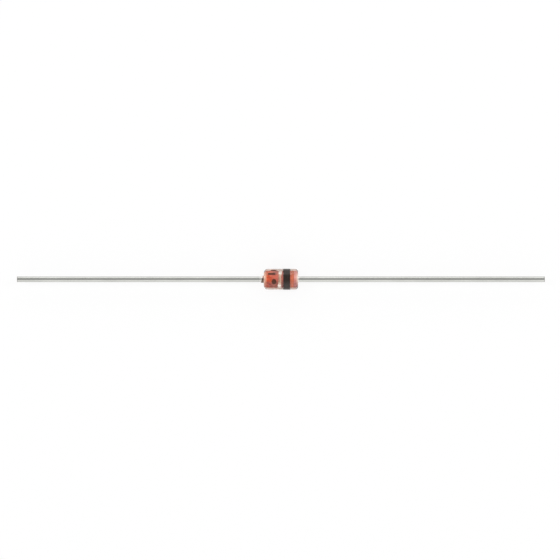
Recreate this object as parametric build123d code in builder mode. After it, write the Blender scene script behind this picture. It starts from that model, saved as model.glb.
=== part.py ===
from build123d import *
from math import sqrt, tan, radians
import os

# A zener diode in an axial glass package: two slugs sealed in a glass sleeve, the chip
# between them, a wire lead welded to each slug and an ink band round the cathode half.
# The axis lies along X with the cathode at +X, and the origin is the middle of the sleeve.
# Sizes are in millimetres and angles in degrees.

# Glass sleeve
glass_length = 4.0
glass_diameter = 2.42
anode_shoulder = 0.50         # fire-rounding of the outer edge at the anode end
cathode_shoulder = 0.38       # the same at the cathode end
mouth_round = 0.04            # rounding of the bore's two edges

# Slugs, which fill the sleeve's bore
slug_diameter = 1.30
slug_recess = 0.37            # from a glass end to a slug's outer face, before the stack's shift
slug_edge_round = 0.05
stack_shift = 0.12            # how far slugs and chip sit to the anode side of the middle

# Chip stack, which sets the gap between the slugs
bump_diameter = 0.36
bump_bulge = 0.03
bump_height = 0.06
die_thickness = 0.16
die_bevel = 0.04
die_clearance = 0.15          # from the chip's corners to the glass
solder_thickness = 0.04
solder_flare_angle = 35.0

# Wire leads and the weld beads at their roots
lead_diameter = 0.66
lead_reach = 28.7             # from a glass end to the wire's tip
bead_length = 0.63
bead_swell = 0.095            # how far the bead stands out from the wire
bead_root_swell = 0.04        # the same where the bead meets the slug
bead_nose = 0.21              # length of the bead's rounded front
bead_blend = 0.06
cut_angle = 5.0               # slant of the sheared tip
tip_round = 0.06

# Cathode band
band_width = 0.80
band_setback = 0.93           # from the cathode end of the glass to the band
band_thickness = 0.02

# Sizes and places that follow from the ones above
glass_radius = glass_diameter / 2
bore_radius = slug_diameter / 2
glass_wall = glass_radius - bore_radius
widest_shoulder = 0.9 * glass_wall
widest_mouth_round = 0.09 * glass_wall
contact_gap = bump_height + die_thickness + solder_thickness
slug_length = (glass_length - contact_gap) / 2 - slug_recess
die_side = sqrt(2) * (bore_radius - die_clearance)
wire_radius = lead_diameter / 2
anode_face_x = -stack_shift - contact_gap / 2
cathode_face_x = -stack_shift + contact_gap / 2
die_x = anode_face_x + bump_height
solder_x = die_x + die_thickness
tip_x = glass_length / 2 + lead_reach

os.makedirs("parts", exist_ok=True)


def save(piece, name):
    """Labels a finished piece and writes it as its own STEP file."""
    piece.label = name
    export_step(piece, f"parts/{name}.step")


# Glass sleeve: half its section, turned about the axis
with BuildPart() as glass_sleeve:
    with BuildSketch(Plane.XZ) as section:
        with Locations((0, bore_radius)):
            Rectangle(glass_length, glass_wall, align=(Align.CENTER, Align.MIN))
        mouths = section.vertices().group_by(Axis.Y)[0]
        fillet(mouths, min(mouth_round, widest_mouth_round))
        anode_rim = section.vertices().group_by(Axis.Y)[-1].sort_by(Axis.X)[0]
        fillet(anode_rim, min(anode_shoulder, widest_shoulder))
        cathode_rim = section.vertices().group_by(Axis.Y)[-1].sort_by(Axis.X)[-1]
        fillet(cathode_rim, min(cathode_shoulder, widest_shoulder))
    revolve(axis=Axis.X)
save(glass_sleeve.part, "glass_sleeve")

# The two electrodes are alike: a slug with a lead welded to its outer face.
for pole, side, inner_face_x in (("anode", -1, anode_face_x), ("cathode", 1, cathode_face_x)):
    outer_face_x = inner_face_x + side * slug_length

    with BuildPart() as slug:
        with BuildSketch(Plane(origin=(inner_face_x, 0, 0), z_dir=(side, 0, 0))):
            Circle(bore_radius)
        extrude(amount=slug_length)
        fillet(slug.edges().filter_by(GeomType.CIRCLE), slug_edge_round)
    save(slug.part, f"{pole}_slug")

    # The profile plane starts at the weld, with x along the wire towards its tip.
    profile_plane = Plane(origin=(outer_face_x, 0, 0), x_dir=(side, 0, 0), z_dir=(0, -side, 0))
    lead_length = tip_x - side * outer_face_x
    bead_crest = (bead_length - bead_nose, wire_radius + bead_swell)
    bead_root = (0, wire_radius + bead_root_swell)
    bead_end = (bead_length, wire_radius)
    with BuildPart() as lead:
        with BuildSketch(profile_plane) as profile:
            with BuildLine():
                Line((0, 0), bead_root)
                TangentArc(bead_crest, bead_root, tangent=(-1, 0))
                TangentArc(bead_crest, bead_end, tangent=(1, 0))
                Polyline(bead_end, (lead_length, wire_radius), (lead_length, 0), (0, 0))
            make_face()
            neck = profile.vertices().sort_by_distance(bead_end)[0]
            fillet(neck, bead_blend)
        revolve(axis=Axis.X)

        # The cutter leaves a slanted face, whose furthest edge is the tip of the wire.
        outward = Axis((0, 0, 0), (side, 0, 0))
        cut_x = side * (tip_x - wire_radius * tan(radians(cut_angle)))
        cut_plane = Plane(origin=(cut_x, 0, 0), z_dir=(side, 0, 0)).rotated((0, cut_angle, 0))
        split(bisect_by=cut_plane, keep=Keep.BOTTOM)
        fillet(lead.faces().sort_by(outward)[-1].edges(), tip_round)
    save(lead.part, f"{pole}_lead")

# Contact bump: a silver button squeezed between the anode slug and the chip
with BuildPart() as contact_bump:
    with BuildSketch(Plane.XZ) as section:
        with BuildLine():
            Polyline(
                (anode_face_x, bump_diameter / 2),
                (anode_face_x, 0),
                (die_x, 0),
                (die_x, bump_diameter / 2),
            )
            ThreePointArc(
                (die_x, bump_diameter / 2),
                ((anode_face_x + die_x) / 2, bump_diameter / 2 + bump_bulge),
                (anode_face_x, bump_diameter / 2),
            )
        make_face()
    revolve(axis=Axis.X)
save(contact_bump.part, "contact_bump")

# Silicon die: a square chip, bevelled round its anode face
with BuildPart() as silicon_die:
    with BuildSketch(Plane.YZ.offset(die_x)):
        Rectangle(die_side, die_side)
    extrude(amount=die_thickness)
    chamfer(silicon_die.faces().sort_by(Axis.X)[0].edges(), die_bevel)
save(silicon_die.part, "silicon_die")

# Die solder: a thin layer that spreads from the chip's outline onto the cathode slug
with BuildPart() as die_solder:
    with BuildSketch(Plane.YZ.offset(solder_x)):
        Rectangle(die_side, die_side)
    extrude(amount=solder_thickness, taper=-solder_flare_angle)
save(die_solder.part, "die_solder")

# Cathode band: a ring of ink on the glass
with BuildPart() as cathode_band:
    band_start_x = glass_length / 2 - band_setback - band_width
    with BuildSketch(Plane.YZ.offset(band_start_x)):
        Circle(glass_radius + band_thickness)
        Circle(glass_radius, mode=Mode.SUBTRACT)
    extrude(amount=band_width)
save(cathode_band.part, "cathode_band")
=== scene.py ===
import math

import bmesh
import bpy
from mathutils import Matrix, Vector, noise


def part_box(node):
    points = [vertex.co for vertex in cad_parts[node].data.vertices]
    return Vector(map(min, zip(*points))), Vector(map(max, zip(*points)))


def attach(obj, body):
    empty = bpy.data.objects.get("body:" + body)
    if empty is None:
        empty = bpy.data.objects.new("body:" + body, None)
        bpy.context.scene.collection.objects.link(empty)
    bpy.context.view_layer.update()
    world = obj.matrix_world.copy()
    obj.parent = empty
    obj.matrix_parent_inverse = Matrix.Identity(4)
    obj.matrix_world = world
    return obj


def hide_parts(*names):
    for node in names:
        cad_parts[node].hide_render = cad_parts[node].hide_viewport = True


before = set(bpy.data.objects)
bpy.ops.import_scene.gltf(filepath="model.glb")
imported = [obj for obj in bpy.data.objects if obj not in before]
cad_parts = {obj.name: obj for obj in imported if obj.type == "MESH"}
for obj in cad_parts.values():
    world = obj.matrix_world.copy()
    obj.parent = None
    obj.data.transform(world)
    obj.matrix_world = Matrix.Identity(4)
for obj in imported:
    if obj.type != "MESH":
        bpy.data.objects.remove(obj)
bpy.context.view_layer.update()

# A glass zener diode lying on a white table, seen from straight above. Lengths are in metres.
MM = 0.001
MICRON = 1e-6

# Picture: 560 px wide, with the object's middle a little off its centre
PICTURE_PX = 560
MIDDLE_PX = (280.9, 279.25)
METRES_PER_PX = 0.1162 * MM
LENS_MM = 180.0
SENSOR_MM = 36.0

# Places read from the frame
glass_low, glass_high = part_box("glass_sleeve")
GLASS_START, GLASS_END = glass_low.x, glass_high.x
GLASS_RADIUS = max(glass_high.y, glass_high.z)
slug_low, slug_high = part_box("anode_slug")
SLUG_RADIUS = max(slug_high.y, slug_high.z)
band_low, band_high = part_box("cathode_band")
BAND_RADIUS = min(band_high.y, band_high.z)

# Table and studio
FLOOR_Z = -BAND_RADIUS
FLOOR_HALF = 1.4
PATCH_LEAN = math.radians(12)  # how far the dim patch overhead leans towards +Y

# Glass sleeve
ANODE_SHOULDER = 0.50 * MM
CATHODE_SHOULDER = 0.38 * MM
MOUTH_ROUND = 0.04 * MM
SEATING = 2 * MICRON          # how far glass and ink reach into what they cling to
GLASS_RIPPLE = 5 * MICRON
GLASS_WAVE = 1.3 * MM         # breadth of the waves

# Slugs
SLUG_EDGE_ROUND = 0.05 * MM
SLUG_GROOVE = 1.5 * MICRON
SLUG_GROOVE_PITCH = 0.09 * MM
STACK_SHIFT_MM = 0.12         # how far the gap's middle lies to the anode side
SHEAR_ROLL = 0.09 * MM        # how far an inner face's edge rolls away on one side
SHEAR_ROLL_START = 0.28 * MM  # radius from which it does
SHEAR_BURR = 0.045 * MM       # how far it stands up on the other side
SHEAR_BURR_START = 0.54 * MM
FILM_THICKNESS = 6 * MICRON
FILM_FRAY = 0.05 * MM         # how far a film's end draws back in places
FILM_FRAY_SIZE = 0.2 * MM

# Leads
WIRE_RADIUS = 0.33 * MM
BEAD_LENGTH = 0.63 * MM
BEAD_SWELL = 0.095 * MM
BEAD_ROOT_SWELL = 0.04 * MM
BEAD_NOSE = 0.21 * MM
BEAD_BLEND = 0.06 * MM
BEAD_LUMP = 9 * MICRON
BEAD_LUMP_SIZE = 0.22 * MM
RING_END_MM = {"anode": 2.27, "cathode": 1.68}  # where the coloured ring round a weld ends
TIP_ROUND = 0.06 * MM
CUT_SLOPE = math.tan(math.radians(5.0))
TIP_PINCH = 0.010 * MM        # how far the blade presses in the last side that it cuts
BREAK_DEPTH = 0.014 * MM      # how far the torn half of a cut end lies below the sheared half
BREAK_ROUGH = 0.010 * MM
BREAK_GRAIN = 0.06 * MM
BREAK_BLEND = 0.05 * MM       # height over which sheared turns to torn

# Ink
INK_EDGE = 10 * MICRON
BAND_RAGGED = 14 * MICRON
BAND_RAGGED_SIZE = 0.16 * MM
MARK_THICKNESS = 9 * MICRON
MARK_RIM = 0.6 * MARK_THICKNESS
MARK_RAGGED = 0.018 * MM

# Fineness of the meshes
AROUND = 128                  # steps round the glass and the slugs, and half of those round the band
WIRE_AROUND = 64
CUT_RINGS = 14                # rings on a cut end
MARK_AROUND = 64
MARK_RINGS = 10
STEP = 0.05 * MM              # spacing of rings along a straight run
ON_AXIS = 1e-9                # a smaller radius counts as a point on the axis


# Profiles, as lists of (distance along the axis, radius)
def arc(centre_x, centre_r, radius, start_deg, end_deg, steps=10):
    """Points on an arc, from start_deg to end_deg."""
    points = []
    for i in range(steps + 1):
        angle = math.radians(start_deg + (end_deg - start_deg) * i / steps)
        points.append((centre_x + radius * math.cos(angle), centre_r + radius * math.sin(angle)))
    return points


def run(start, end, step=STEP):
    """Points between two profile points, both left out, about a step apart."""
    count = max(1, round(math.dist(start, end) / step))
    return [
        tuple(a + (b - a) * i / count for a, b in zip(start, end))
        for i in range(1, count)
    ]


def joined(*stretches):
    """One profile from stretches of points, with straight runs filled in between them."""
    points = list(stretches[0])
    for stretch in stretches[1:]:
        points += run(points[-1], stretch[0])
        points += stretch
    return points


def closed(points):
    """The same profile with its last straight run back to the start filled in."""
    return points + run(points[-1], points[0])


def clean(points, least=0.05 * MICRON):
    """The profile without points that repeat the one before."""
    kept = [points[0]]
    for point in points[1:]:
        if math.dist(point, kept[-1]) > least:
            kept.append(point)
    return kept


# Meshes
def skin(name, rows, is_ring=False):
    """A smooth piece whose faces join each row of points round it to the next. A row of one point closes an
    end, and a ring's last row joins its first."""
    bm = bmesh.new()
    loops = [[bm.verts.new(point) for point in row] for row in rows]
    around = max(len(loop) for loop in loops)
    pairs = list(zip(loops, loops[1:]))
    if is_ring:
        pairs.append((loops[-1], loops[0]))
    for first, second in pairs:
        for i in range(around):
            j = (i + 1) % around
            corners = [
                first[i % len(first)],
                first[j % len(first)],
                second[j % len(second)],
                second[i % len(second)],
            ]
            bm.faces.new(list(dict.fromkeys(corners)))
    bmesh.ops.recalc_face_normals(bm, faces=bm.faces)
    for face in bm.faces:
        face.smooth = True
    mesh = bpy.data.meshes.new(name)
    bm.to_mesh(mesh)
    bm.free()
    piece = bpy.data.objects.new(name, mesh)
    bpy.context.scene.collection.objects.link(piece)
    return piece


def lathe(name, profile, around, is_ring, shape, side=1):
    """Turns a profile about the X axis. A ring's profile is a closed loop, and otherwise its first and last
    points are on the axis. shape moves a point of the surface. side is -1 for a piece that runs to -X."""
    rows = []
    for along, radius in clean(profile):
        if radius < ON_AXIS:
            rows.append([(side * shape(along, 0.0, 0.0)[0], 0.0, 0.0)])
            continue
        row = []
        for i in range(around):
            angle = 2 * math.pi * i / around
            x, r = shape(along, radius, angle)
            row.append((side * x, r * math.cos(angle), r * math.sin(angle)))
        rows.append(row)
    return skin(name, rows, is_ring)


def finish_piece(piece, material, slot, *nodes):
    """Gives a piece its material, its body and the CAD nodes that it stands for."""
    piece.data.materials.append(material)
    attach(piece, "root")
    if nodes:
        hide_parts(*nodes)


def ripple(x, angle, radius, scale, seed):
    """Smooth noise from -1 to 1 on the surface of a cylinder, with bumps about scale across."""
    place = Vector((x, radius * math.cos(angle), radius * math.sin(angle))) / scale
    return noise.noise(place + Vector((seed, 0.0, 0.0)))


# Shader helpers
def grey(tone):
    return tone, tone, tone


class Shader:
    """The node tree of a material or a world, with short calls for the nodes used here. A value given to a
    call is a socket to link, or a plain number, colour or vector."""

    def __init__(self, name, is_world=False):
        self.owner = (bpy.data.worlds if is_world else bpy.data.materials).new(name)
        self.owner.use_nodes = True
        self.tree = self.owner.node_tree
        self.tree.nodes.clear()
        self.output = self.node("ShaderNodeOutputWorld" if is_world else "ShaderNodeOutputMaterial")

    def node(self, kind, **settings):
        made = self.tree.nodes.new(kind)
        for key, value in settings.items():
            setattr(made, key, value)
        return made

    def feed(self, socket, value):
        """Gives an input its value."""
        if isinstance(value, bpy.types.NodeSocket):
            self.tree.links.new(value, socket)
        elif socket.type == "RGBA":
            socket.default_value = (*value, 1.0)
        else:
            socket.default_value = value

    def place(self, stretch=(1.0, 1.0, 1.0)):
        """The point on the object in millimetres, each axis times its stretch."""
        mapping = self.node("ShaderNodeMapping")
        self.feed(mapping.inputs["Vector"], self.node("ShaderNodeTexCoord").outputs["Object"])
        self.feed(mapping.inputs["Scale"], [s / MM for s in stretch])
        return mapping.outputs["Vector"]

    def axes(self, vector):
        """The X, Y and Z of a vector."""
        made = self.node("ShaderNodeSeparateXYZ")
        self.feed(made.inputs[0], vector)
        return made.outputs["X"], made.outputs["Y"], made.outputs["Z"]

    def noise(self, scale, detail=3.0, roughness=0.5, stretch=(1.0, 1.0, 1.0)):
        """Noise whose scale is in cells per millimetre."""
        made = self.node("ShaderNodeTexNoise")
        self.feed(made.inputs["Scale"], scale)
        self.feed(made.inputs["Detail"], detail)
        self.feed(made.inputs["Roughness"], roughness)
        self.feed(made.inputs["Vector"], self.place(stretch))
        return made.outputs["Fac"]

    def ramp(self, source, *stops):
        """A colour ramp over source, with stops of (position, colour)."""
        made = self.node("ShaderNodeValToRGB")
        elements = made.color_ramp.elements
        while len(elements) < len(stops):
            elements.new(0.5)
        for element, (position, colour) in zip(elements, stops):
            element.position = position
            element.color = (*colour, 1.0)
        self.feed(made.inputs["Fac"], source)
        return made.outputs["Color"]

    def span(self, source, low, high, to_low=0.0, to_high=1.0):
        """Maps source from low..high to to_low..to_high, held at both ends."""
        made = self.node("ShaderNodeMapRange")
        names = ("Value", "From Min", "From Max", "To Min", "To Max")
        for name, value in zip(names, (source, low, high, to_low, to_high)):
            self.feed(made.inputs[name], value)
        return made.outputs["Result"]

    def maths(self, operation, *values):
        """A number worked out from up to three others."""
        made = self.node("ShaderNodeMath", operation=operation)
        for socket, value in zip(made.inputs, values):
            self.feed(socket, value)
        return made.outputs[0]

    def vectors(self, operation, *values):
        """A node that works on vectors."""
        made = self.node("ShaderNodeVectorMath", operation=operation)
        for socket, value in zip(made.inputs, values):
            self.feed(socket, value)
        return made

    def mix(self, share, first, second, blend="MIX"):
        """Mixes two colours."""
        made = self.node("ShaderNodeMix", data_type="RGBA", blend_type=blend)
        for index, value in ((0, share), (6, first), (7, second)):
            self.feed(made.inputs[index], value)
        return made.outputs[2]

    def bump(self, height, distance):
        """A normal from a height, whose full rise is distance."""
        made = self.node("ShaderNodeBump")
        self.feed(made.inputs["Distance"], distance)
        self.feed(made.inputs["Height"], height)
        return made.outputs["Normal"]

    def show(self, shader):
        """Wires a shader to the output."""
        self.feed(self.output.inputs["Surface"], shader)

    def mix_shaders(self, share, first, second):
        """Shows a mix of two shaders."""
        made = self.node("ShaderNodeMixShader")
        for socket, value in zip(made.inputs, (share, first, second)):
            self.feed(socket, value)
        self.show(made.outputs["Shader"])

    def principled(self, **inputs):
        """Shows a Principled shader, whose inputs are named with underscores."""
        made = self.node("ShaderNodeBsdfPrincipled")
        for key, value in inputs.items():
            self.feed(made.inputs[key.replace("_", " ")], value)
        self.show(made.outputs["BSDF"])
        return made.outputs["BSDF"]


# Materials. Places along and across a piece are in millimetres.
def glass_material():
    """Clear sealing glass. Lamp rays pass straight through it, so that what it holds is lit."""
    s = Shader("clear_glass")
    surface = s.principled(
        Base_Color=(0.92, 0.828, 0.74),
        Roughness=0.02,
        IOR=1.52,
        Transmission_Weight=1.0,
        Normal=s.bump(s.noise(0.9, detail=1.0), 12 * MICRON),
    )
    clear = s.node("ShaderNodeBsdfTransparent")
    s.feed(clear.inputs["Color"], (0.96, 0.93, 0.90))
    path = s.node("ShaderNodeLightPath")
    s.mix_shaders(path.outputs["Is Shadow Ray"], surface, clear.outputs["BSDF"])
    return s.owner


def along_and_across(s, clouds):
    """The place along the axis, and one across it that wanders with the clouds."""
    along, across, _ = s.axes(s.place())
    return along, s.maths("MULTIPLY_ADD", clouds, 0.5, across)


def slug_material():
    """Oxidised copper: orange-red with rosy and brown blotches, mauve towards the gap and bare on the inner
    face, with painted shade towards -Y, painted light past the band and on the mauve's +Y side, and a painted
    highlight at the pale outer end."""
    s = Shader("copper_oxide")
    blotches = s.noise(2.6, detail=4.0, roughness=0.62)
    colour = s.ramp(
        blotches,
        (0.30, (0.42, 0.062, 0.018)),
        (0.45, (0.83, 0.115, 0.032)),
        (0.60, (0.95, 0.165, 0.052)),
        (0.75, (0.97, 0.240, 0.115)),
    )
    rosy = s.noise(1.7, detail=3.0, stretch=(1.0, 1.3, 1.3))
    colour = s.mix(s.span(rosy, 0.50, 0.68, 0.0, 0.55), colour, (0.90, 0.255, 0.210))
    along, across = along_and_across(s, blotches)
    colour = s.mix(s.span(along, -1.25, -0.80, 0.0, 0.45), colour, (0.70, 0.270, 0.255))
    # Painted shade: darker and browner towards the -Y side, and a little darker and greyer at the +Y edge.
    shade = s.ramp(
        s.span(across, -0.20, 0.80),
        (0.0, (0.52, 0.37, 0.24)),
        (0.58, grey(1.0)),
        (0.74, grey(1.0)),
        (1.0, (0.74, 0.84, 0.88)),
    )
    colour = s.mix(1.0, colour, shade, "MULTIPLY")
    # Past the band the orange is painted brighter, as light against the band's shadow, and this takes back
    # part of the painted shade there.
    colour = s.mix(s.span(along, 0.90, 1.10, 0.0, 0.55), colour, (1.0, 0.27, 0.13))
    # Painted light and shade: lit makes the mauve and the pale outer end lighter on the +Y side and darker on
    # the -Y side.
    lit = s.span(across, -0.20, 0.45)
    mauve = s.ramp(
        s.span(along, -0.60, 0.60),
        (0.03, grey(0.0)),
        (0.28, grey(0.65)),
        (0.73, grey(0.78)),
        (0.95, grey(0.0)),
    )
    colour = s.mix(mauve, colour, s.mix(lit, (0.40, 0.115, 0.095), (0.68, 0.250, 0.210)))
    # The inner faces are bare.
    from_gap = s.maths("ABSOLUTE", s.maths("ADD", along, STACK_SHIFT_MM))
    colour = s.mix(s.span(from_gap, 0.135, 0.165, 1.0, 0.0), colour, (1.0, 0.74, 0.63))
    # Painted highlight: the outer end is pale where the glass end shows the slug's lit side.
    outer_end = s.span(s.maths("ABSOLUTE", along), 1.55, 1.70, 0.0, 0.85)
    colour = s.mix(outer_end, colour, s.mix(lit, (0.76, 0.36, 0.24), (1.0, 0.70, 0.54)))
    lines = s.noise(14.0, detail=2.0, stretch=(0.12, 1.0, 1.0))
    worn = s.ramp(lines, (0.35, (0.60, 0.42, 0.36)), (0.65, grey(1.0)))
    s.principled(
        Base_Color=s.mix(0.22, colour, worn, "MULTIPLY"),
        Metallic=0.10,
        Roughness=s.span(blotches, 0.3, 0.7, 0.48, 0.36),
        Specular_IOR_Level=0.25,
        Normal=s.bump(lines, 3 * MICRON),
    )
    return s.owner


def film_material():
    """A pink film in the bore past a slug's end: a painted reflection of the slug's colour in the glass end.
    It is paler at the mouth and at the cathode end, a painted highlight, and darker on the -Y side, painted
    shade.
    """
    s = Shader("painted_reflection_film")
    clouds = s.noise(3.0, detail=4.0)
    along, across = along_and_across(s, clouds)
    outward = s.maths("ABSOLUTE", along)
    # Painted reflection: the pink stands for the slug's colour that the glass end shows.
    pink = s.ramp(clouds, (0.35, (0.76, 0.28, 0.25)), (0.65, (0.96, 0.47, 0.45)))
    streaks = s.noise(9.0, detail=3.0, stretch=(0.25, 1.0, 1.0))
    # Painted highlight: pale towards the mouth, paler still at the cathode end.
    peach_highlight = s.ramp(streaks, (0.36, (0.96, 0.56, 0.42)), (0.58, (1.0, 0.86, 0.74)))
    peach_highlight = s.mix(s.span(along, 0.0, 1.7, 0.0, 0.8), peach_highlight, (1.0, 0.93, 0.90))
    colour = s.mix(s.span(outward, 1.51, 1.54), (0.72, 0.20, 0.09), pink)
    colour = s.mix(s.span(outward, 1.66, 1.78), colour, peach_highlight)
    # Painted shade: darker on the -Y side, less so near the mouth.
    dim = s.mix(s.span(outward, 1.66, 1.80), (0.58, 0.38, 0.40), (0.90, 0.78, 0.76))
    shade = s.mix(s.span(across, -0.20, 0.45), dim, grey(1.0))
    s.principled(
        Base_Color=s.mix(1.0, colour, shade, "MULTIPLY"),
        Roughness=s.span(clouds, 0.3, 0.7, 0.55, 0.42),
        Normal=s.bump(clouds, 3 * MICRON),
    )
    return s.owner


def wire_material(pole, side, weld_x, tip_x):
    """Tinned wire: satin, with drawing lines, a bright bead, a ring at the weld painted pink on the +Y side
    as light and brown on the other as shade, a tip that turns dark and a bare cut end. weld_x and tip_x are
    distances from the middle."""
    s = Shader(f"tinned_wire_{pole}")
    weld, tip = weld_x / MM, tip_x / MM
    bead_end = weld + BEAD_LENGTH / MM
    lines = s.noise(30.0, detail=2.0, stretch=(0.02, 1.0, 1.0))
    clouds = s.noise(1.1, detail=3.0, stretch=(0.25, 1.0, 1.0))
    colour = s.ramp(clouds, (0.35, (0.535, 0.540, 0.512)), (0.65, (0.595, 0.600, 0.572)))
    drawn = s.ramp(lines, (0.38, (0.80, 0.80, 0.79)), (0.62, grey(1.0)))
    colour = s.mix(0.20, colour, drawn, "MULTIPLY")
    along, across, up = s.axes(s.place((side, 1.0, 1.0)))
    colour = s.mix(s.span(along, bead_end, bead_end + 0.12, 1.0, 0.0), colour, (0.80, 0.785, 0.75))
    # The ring is painted pink on the +Y side of the wire as light, and brown and a little wider on the other
    # as shade.
    leaning = s.maths("MULTIPLY_ADD", across, 0.30, along)
    ring = s.span(leaning, weld, RING_END_MM[pole])
    brown = s.ramp(ring, (0.0, (0.24, 0.16, 0.12)), (0.80, (0.19, 0.14, 0.11)), (1.0, grey(1.0)))
    pink = s.ramp(ring, (0.0, (0.70, 0.37, 0.32)), (0.85, (0.78, 0.46, 0.42)), (1.0, grey(1.0)))
    ring_lit_and_shaded = s.mix(s.span(across, 0.02, 0.20), brown, pink)
    colour = s.mix(1.0, colour, ring_lit_and_shaded, "MULTIPLY")
    # The wire darkens from 0.16 mm to 0.05 mm before the tip. The blade smeared the layers that show on the
    # cut end.
    colour = s.mix(s.span(along, tip - 0.16, tip - 0.05, 0.0, 0.75), colour, (0.13, 0.12, 0.11))
    from_axis = s.vectors("LENGTH", s.place((0.0, 1.0, 1.0))).outputs["Value"]
    wobble = s.noise(6.0, detail=3.0, stretch=(0.0, 1.0, 0.35))
    smeared = s.maths("MULTIPLY_ADD", wobble, 0.05, from_axis)
    grain = s.noise(14.0, detail=4.0, roughness=0.6)
    torn = s.ramp(grain, (0.35, (0.075, 0.070, 0.065)), (0.65, (0.17, 0.165, 0.16)))
    sheared = s.ramp(grain, (0.30, (0.20, 0.195, 0.19)), (0.70, (0.30, 0.295, 0.285)))
    steel = s.mix(s.span(up, -0.01, 0.05), torn, sheared)
    copper = s.ramp(grain, (0.35, (0.34, 0.125, 0.065)), (0.65, (0.50, 0.21, 0.12)))
    cut = s.mix(s.span(smeared, 0.232, 0.252), steel, copper)
    s.principled(
        Base_Color=s.mix(s.span(smeared, 0.308, 0.332), cut, colour),
        Metallic=1.0,
        Roughness=s.span(clouds, 0.3, 0.7, 0.26, 0.19),
        Normal=s.bump(lines, 1.2 * MICRON),
    )
    return s.owner


def ink_material(name, dark, light, thin):
    """Stamped ink: half gloss and mottled, with faint streaks round the glass and thin specks."""
    s = Shader(name)
    specks = s.noise(9.0, detail=4.0, roughness=0.65)
    mottle = s.noise(30.0, detail=3.0, roughness=0.6)
    streaks = s.noise(16.0, detail=1.0, stretch=(1.0, 0.10, 0.10))
    colour = s.ramp(mottle, (0.34, dark), (0.66, light))
    streaked = s.ramp(streaks, (0.40, grey(0.55)), (0.60, grey(1.0)))
    colour = s.mix(0.35, colour, streaked, "MULTIPLY")
    s.principled(
        Base_Color=s.mix(s.span(specks, 0.30, 0.40, 0.7, 0.0), colour, thin),
        Roughness=s.span(specks, 0.3, 0.7, 0.36, 0.24),
        Specular_IOR_Level=0.40,
        Normal=s.bump(mottle, 3 * MICRON),
    )
    return s.owner


def metal_material(name, dark, light, scale, roughness):
    """A bare metal with clouded colour."""
    s = Shader(name)
    clouds = s.noise(scale, detail=4.0)
    s.principled(
        Base_Color=s.ramp(clouds, (0.35, dark), (0.65, light)),
        Metallic=0.25,
        Roughness=s.span(clouds, 0.3, 0.7, roughness + 0.08, roughness - 0.05),
        Normal=s.bump(clouds, 2 * MICRON),
    )
    return s.owner


# Glass sleeve, with its bore just inside the slugs' surface so that no air lies between
def make_glass():
    bore = SLUG_RADIUS - SEATING
    outer = GLASS_RADIUS
    profile = closed(joined(
        arc(GLASS_START + ANODE_SHOULDER, outer - ANODE_SHOULDER, ANODE_SHOULDER, 180, 90, 24),
        arc(GLASS_END - CATHODE_SHOULDER, outer - CATHODE_SHOULDER, CATHODE_SHOULDER, 90, 0, 20),
        arc(GLASS_END - MOUTH_ROUND, bore + MOUTH_ROUND, MOUTH_ROUND, 0, -90, 6),
        arc(GLASS_START + MOUTH_ROUND, bore + MOUTH_ROUND, MOUTH_ROUND, -90, -180, 6),
    ))

    def shape(x, r, angle):
        share = min(1.0, max(0.0, (r - bore) / (outer - bore)))
        wave = 0.5 - 0.5 * ripple(x, angle, r, GLASS_WAVE, 3.0)
        return x, r - share * GLASS_RIPPLE * wave

    glass = lathe("glass_sleeve_looks", profile, AROUND, True, shape)
    finish_piece(glass, glass_material(), "clear_glass", "glass_sleeve")


# Slugs: cropped from wire, so that each inner face has one rolled edge and one burr, with rounded rims and
# faint rings
def make_slug(pole, side, material):
    low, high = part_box(f"{pole}_slug")
    near, far = (low.x, high.x) if side > 0 else (-high.x, -low.x)
    edge, radius = SLUG_EDGE_ROUND, SLUG_RADIUS
    profile = joined(
        [(near, 0.0)],
        arc(near + edge, radius - edge, edge, 180, 90, 8),
        arc(far - edge, radius - edge, edge, 90, 0, 8),
        [(far, 0.0)],
    )
    grooves = 2 * math.pi / SLUG_GROOVE_PITCH

    def shape(x, r, angle):
        if radius - edge > r > 0.1 * MM:
            inward = 1 if x < (near + far) / 2 else -1
            x += inward * SLUG_GROOVE * (0.5 + 0.5 * math.cos(grooves * r))
        inner = max(0.0, 1.0 - (x - near) / (3 * SHEAR_ROLL))
        roll = max(0.0, (r - SHEAR_ROLL_START) / (radius - SHEAR_ROLL_START)) ** 1.5
        burr = max(0.0, (r - SHEAR_BURR_START) / (radius - SHEAR_BURR_START)) ** 0.7
        facing = side * math.cos(angle)
        lean = SHEAR_ROLL * roll if facing > 0 else SHEAR_BURR * burr
        return x + lean * inner * facing, r

    slug = lathe(f"{pole}_slug_looks", profile, AROUND, False, shape, side)
    finish_piece(slug, material, "copper_oxide", f"{pole}_slug")


# Films: thin tubes on the bore, from a slug's end to the mouth of the glass, coloured as a painted reflection
# of the slug in the glass end
def make_film(pole, side, material):
    low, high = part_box(f"{pole}_slug")
    start = max(side * low.x, side * high.x) - SLUG_EDGE_ROUND
    end = side * (GLASS_END if side > 0 else GLASS_START) - 1.2 * MOUTH_ROUND
    outer = SLUG_RADIUS + SEATING / 4
    inner = outer - FILM_THICKNESS
    profile = closed(joined([(start, outer)], [(end, outer)], [(end, inner)], [(start, inner)]))

    def shape(x, r, angle):
        fray = 0.5 + 0.5 * ripple(x, angle, outer, FILM_FRAY_SIZE, 31.0 + side)
        return x - max(0.0, (x - start) / (end - start)) ** 6 * FILM_FRAY * fray, r

    film = lathe(f"{pole}_painted_reflection_film", profile, AROUND, True, shape, side)
    finish_piece(film, material, "copper_oxide")


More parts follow.
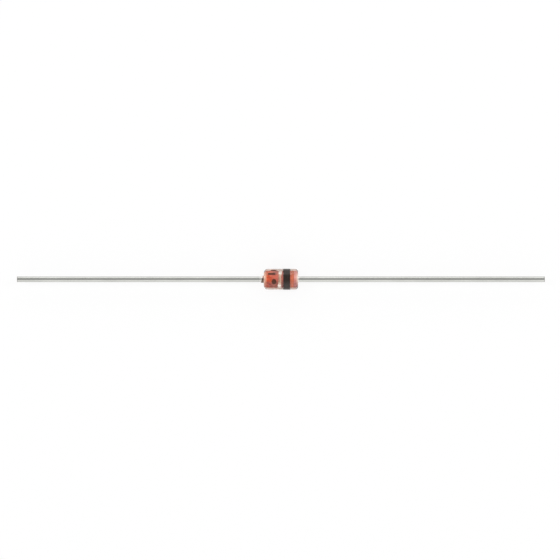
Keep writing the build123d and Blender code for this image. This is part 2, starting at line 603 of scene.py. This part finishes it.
# Leads: a lumpy weld bead, straight wire and a cut end, pinched on one side and half sheared, half torn
def make_lead(pole, side):
    low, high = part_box(f"{pole}_lead")
    weld, tip = (low.x, high.x) if side > 0 else (-high.x, -low.x)
    crest_x, crest_r = weld + BEAD_LENGTH - BEAD_NOSE, WIRE_RADIUS + BEAD_SWELL
    root_r = WIRE_RADIUS + BEAD_ROOT_SWELL

    def crest_arc(end_x, end_r, steps):
        """An arc that leaves the crest level and ends at a point below it."""
        run_x, drop = end_x - crest_x, crest_r - end_r
        radius = (run_x ** 2 + drop ** 2) / (2 * drop)
        sweep = math.degrees(math.atan2(run_x, radius - drop))
        return arc(crest_x, crest_r - radius, radius, 90, 90 - sweep, steps)

    back = crest_arc(weld, root_r, 12)[::-1]
    front = crest_arc(weld + BEAD_LENGTH, WIRE_RADIUS, 14)
    # The bead's front eases into the wire along a short blend.
    neck = [
        (weld + BEAD_LENGTH - BEAD_BLEND / 4, WIRE_RADIUS + BEAD_BLEND / 4),
        (weld + BEAD_LENGTH + BEAD_BLEND / 4, WIRE_RADIUS + BEAD_BLEND / 12),
        (weld + BEAD_LENGTH + BEAD_BLEND, WIRE_RADIUS),
    ]
    wire_start = neck[-1]
    wire_end = (tip - 3 * TIP_ROUND, WIRE_RADIUS)
    profile = [(weld, 0.0), (weld, root_r / 2)] + back + front[1:-1] + neck
    profile += run(wire_start, wire_end, 8 * STEP)
    profile += [wire_end] + arc(tip - TIP_ROUND, WIRE_RADIUS - TIP_ROUND, TIP_ROUND, 90, 0, 8)
    face_r = WIRE_RADIUS - TIP_ROUND
    profile += [(tip, face_r * (1 - i / CUT_RINGS)) for i in range(1, CUT_RINGS + 1)]

    def shape(along, r, angle):
        x = along
        bead = max(0.0, 1.0 - abs(x - crest_x) / BEAD_LENGTH)
        lump = ripple(x, angle, r, BEAD_LUMP_SIZE, 11.0 + 7.0 * side)
        r += bead * BEAD_LUMP * (lump - 0.6)
        near_tip = max(0.0, 1.0 - (tip - x) / (4 * TIP_ROUND))
        height = r * math.sin(angle)
        x -= near_tip * CUT_SLOPE * (WIRE_RADIUS + height)
        edge = max(0.0, -math.sin(angle)) ** 6 * min(1.0, r / WIRE_RADIUS) ** 8
        r -= near_tip * edge * TIP_PINCH
        # The blade shears the upper part of the end and tears the rest.
        if along > tip - TIP_ROUND / 2:
            across = r * math.cos(angle)
            grain = noise.noise(Vector((across / BREAK_GRAIN, height / BREAK_GRAIN, 5.0 * side)))
            torn = min(1.0, max(0.0, 0.6 - height / BREAK_BLEND + grain))
            inside = min(1.0, max(0.0, (WIRE_RADIUS - r) / TIP_ROUND))
            x -= torn * inside * (BREAK_DEPTH + BREAK_ROUGH * (0.5 + 0.5 * grain))
        return x, r

    lead = lathe(f"{pole}_lead_looks", profile, WIRE_AROUND, False, shape, side)
    finish_piece(lead, wire_material(pole, side, weld, tip), "tinned_wire", f"{pole}_lead")


# Cathode band: a thin ring of ink whose edges wander a little
def make_band(material):
    inner, outer = GLASS_RADIUS - GLASS_RIPPLE - SEATING, BAND_RADIUS
    start, end = band_low.x, band_high.x
    profile = closed(joined(
        arc(start + INK_EDGE, outer - INK_EDGE, INK_EDGE, 180, 90, 4),
        arc(end - INK_EDGE, outer - INK_EDGE, INK_EDGE, 90, 0, 4),
        [(end, inner)],
        [(start, inner)],
    ))
    middle = (start + end) / 2

    def shape(x, r, angle):
        near_edge = abs(x - middle) / (end - middle)
        inward = 1 if x < middle else -1
        wander = 0.5 + 0.5 * ripple(x, angle, GLASS_RADIUS, BAND_RAGGED_SIZE, 21.0)
        return x + inward * near_edge ** 8 * BAND_RAGGED * wander, r

    band = lathe("cathode_band_looks", profile, 2 * AROUND, True, shape)
    finish_piece(band, material, "black_ink", "cathode_band")


# Printed marks on the anode half: a plain dot and two plain bars
def make_mark(name, material, middle_x, middle_angle, length, width, squareness):
    """A patch of ink on the glass, length along the axis and width round it. It is an oval where squareness
    is 1, and a bar with rounded corners where it is less."""
    base, top = GLASS_RADIUS - GLASS_RIPPLE - SEATING, GLASS_RADIUS + MARK_THICKNESS
    shares = [i / MARK_RINGS for i in range(MARK_RINGS + 1)]
    rows = []
    for share, radius in [(s, top) for s in shares] + [(s, base) for s in reversed(shares)]:
        if share == 0:
            rows.append([(middle_x, radius * math.sin(middle_angle), radius * math.cos(middle_angle))])
            continue
        if share == 1 and radius == top:
            radius -= MARK_RIM
        row = []
        for i in range(MARK_AROUND):
            turn = 2 * math.pi * i / MARK_AROUND
            out_x, out_y = (math.copysign(abs(v) ** squareness, v) for v in (math.cos(turn), math.sin(turn)))
            ragged = noise.noise(Vector((4 * out_x, 4 * out_y, length / MM)))
            reach = 1 + MARK_RAGGED / min(length, width) * ragged
            along = length / 2 * out_x * share * reach
            angle = middle_angle + width / 2 * out_y * share * reach / GLASS_RADIUS
            row.append((middle_x + along, radius * math.sin(angle), radius * math.cos(angle)))
        rows.append(row)
    finish_piece(skin(name, rows), material, "black_ink")


def make_marks(material):
    for name, x, degrees, length, width, squareness in (
        ("printed_dot", -0.80, -14, 0.56, 0.66, 1.0),
        ("printed_bar", -1.05, 31, 0.86, 0.26, 0.5),
        ("printed_dash", -0.84, 59, 0.70, 0.26, 0.5),
    ):
        make_mark(name, material, x * MM, math.radians(degrees), length * MM, width * MM, squareness)


# Chip, bump and solder keep their CAD solids and get their materials
def dress_inner_pieces():
    looks = {
        "silicon_die": metal_material("silicon", (0.90, 0.76, 0.67), (0.98, 0.86, 0.78), 3.0, 0.30),
        "contact_bump": metal_material("silver", (0.74, 0.72, 0.68), (0.84, 0.83, 0.80), 8.0, 0.30),
        "die_solder": metal_material("solder", (0.62, 0.58, 0.53), (0.74, 0.70, 0.65), 6.0, 0.35),
    }
    for node, material in looks.items():
        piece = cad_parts[node]
        piece.data.materials.clear()
        piece.data.materials.append(material)


# Table: white where the camera, metal and glass look at it, with the object's shadow kept
def make_floor():
    mesh = bpy.data.meshes.new("floor")
    corners = [(-1, -1), (1, -1), (1, 1), (-1, 1)]
    points = [(FLOOR_HALF * x, FLOOR_HALF * y, FLOOR_Z) for x, y in corners]
    mesh.from_pydata(points, [], [(0, 1, 2, 3)])
    floor = bpy.data.objects.new("floor", mesh)
    bpy.context.scene.collection.objects.link(floor)
    s = Shader("white_table")
    surface = s.principled(Base_Color=grey(1.0), Roughness=0.9, Specular_IOR_Level=0.1)
    path = s.node("ShaderNodeLightPath")
    # A ray through glass counts as glossy too, so its share takes some of that away again.
    share = 0.0
    for ray, white in (("Is Camera Ray", 0.86), ("Is Glossy Ray", 0.80), ("Is Transmission Ray", -0.70)):
        share = s.maths("MULTIPLY_ADD", path.outputs[ray], white, share)
    s.mix_shaders(share, surface, s.node("ShaderNodeEmission").outputs["Emission"])
    mesh.materials.append(s.owner)


# World: bright round the sides and dimmer in a broad patch overhead and past both ends of the wires
def make_world():
    s = Shader("studio", is_world=True)
    bpy.context.scene.world = s.owner
    direction = s.node("ShaderNodeTexCoord").outputs["Generated"]
    # Directions are drawn in towards the Y-Z plane first, which makes the patch long in X.
    narrowed = s.vectors("MULTIPLY", direction, (0.45, 1.0, 1.0)).outputs["Vector"]
    unit = s.vectors("NORMALIZE", narrowed).outputs["Vector"]
    patch = (0.0, math.sin(PATCH_LEAN), math.cos(PATCH_LEAN))
    overhead = s.vectors("DOT_PRODUCT", unit, patch).outputs["Value"]
    endwise = s.maths("MULTIPLY", s.maths("ABSOLUTE", s.axes(direction)[0]), 0.88)
    dimness = s.maths("MAXIMUM", overhead, endwise)
    sky = s.node("ShaderNodeBackground")
    s.feed(sky.inputs["Color"], s.ramp(dimness, (0.68, grey(1.12)), (0.80, grey(0.54)), (1.0, grey(0.50))))
    white = s.node("ShaderNodeBackground")
    s.feed(white.inputs["Color"], grey(1.0))
    path = s.node("ShaderNodeLightPath")
    seen = s.maths("MAXIMUM", path.outputs["Is Camera Ray"], path.outputs["Is Transmission Ray"])
    s.mix_shaders(seen, sky.outputs["Background"], white.outputs["Background"])


def make_lamp(name, place, size, power, shines=True):
    """A soft lamp aimed at the diode. Where it does not shine, metal and glass do not mirror it."""
    data = bpy.data.lights.new(name, "AREA")
    data.shape = "RECTANGLE"
    data.size, data.size_y = size
    data.energy = power
    lamp = bpy.data.objects.new(name, data)
    bpy.context.scene.collection.objects.link(lamp)
    lamp.location = place
    lamp.visible_glossy = shines
    lamp.rotation_euler = (-Vector(place)).to_track_quat("-Z", "Y").to_euler()


def make_camera():
    data = bpy.data.cameras.new("camera")
    data.lens = LENS_MM
    data.sensor_width = SENSOR_MM
    camera = bpy.data.objects.new("camera", data)
    bpy.context.scene.collection.objects.link(camera)
    middle = PICTURE_PX / 2
    distance = PICTURE_PX * METRES_PER_PX * LENS_MM / SENSOR_MM
    camera.location = (
        (middle - MIDDLE_PX[0]) * METRES_PER_PX,
        (MIDDLE_PX[1] - middle) * METRES_PER_PX,
        distance,
    )
    bpy.context.scene.camera = camera


make_camera()
make_world()
make_lamp("key", (0.0, 0.42, 0.16), (0.80, 0.16), 0.28)
make_lamp("fill", (0.0, -0.44, 0.16), (0.80, 0.16), 0.18)
make_lamp("left", (-0.34, 0.10, 0.34), (0.16, 0.20), 0.40, shines=False)
make_lamp("right", (0.34, 0.10, 0.34), (0.16, 0.20), 0.40, shines=False)
make_floor()

make_glass()
copper = slug_material()
film = film_material()
for pole, side in (("anode", -1), ("cathode", 1)):
    make_slug(pole, side, copper)
    make_film(pole, side, film)
    make_lead(pole, side)
make_band(ink_material("black_ink", (0.014, 0.008, 0.005), (0.028, 0.016, 0.010), (0.070, 0.048, 0.036)))
make_marks(ink_material("brown_ink", (0.062, 0.016, 0.005), (0.105, 0.027, 0.010), (0.170, 0.055, 0.026)))
dress_inner_pieces()

bpy.context.scene.view_settings.view_transform = "Standard"
